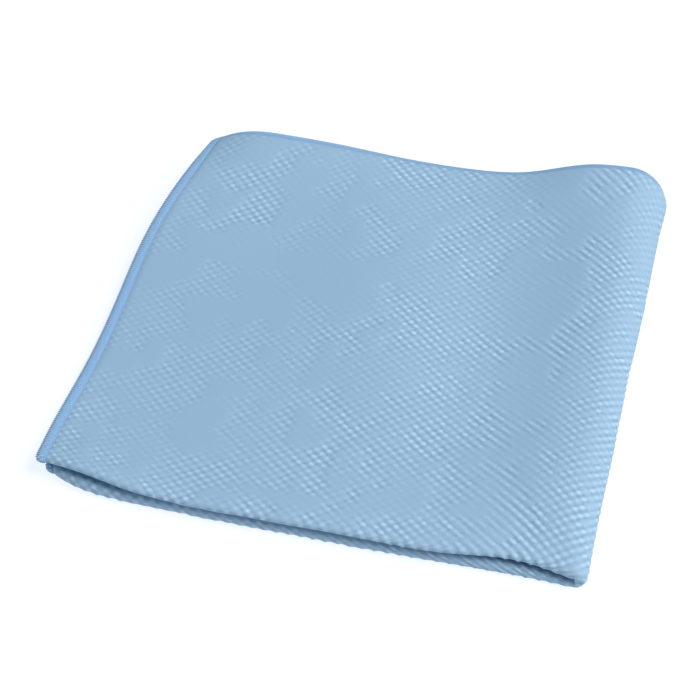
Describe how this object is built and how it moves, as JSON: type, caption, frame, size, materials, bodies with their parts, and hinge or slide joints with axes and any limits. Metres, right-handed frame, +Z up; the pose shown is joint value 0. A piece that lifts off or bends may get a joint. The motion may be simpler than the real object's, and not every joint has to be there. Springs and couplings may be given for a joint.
{
  "type": "folded microfibre cloth",
  "caption": "Light blue microfibre cloth with a raised scale weave and overlocked edges, folded in half twice into a soft square that lies flat with gentle waves.",
  "frame": {"origin": "middle of the folded cloth's box in plan, on the surface it lies on", "axes": "+Z up; +X along the front fold towards the right fold; +Y from the front fold to the open back edges"},
  "size_m": [0.203, 0.1984, 0.0316],
  "materials": {
    "microfibre": "matt light blue microfibre, raised scale weave, overlocked edges in a bluer thread"
  },
  "bodies": {
    "root": {"cloth": "microfibre"}
  },
  "joints": []
}
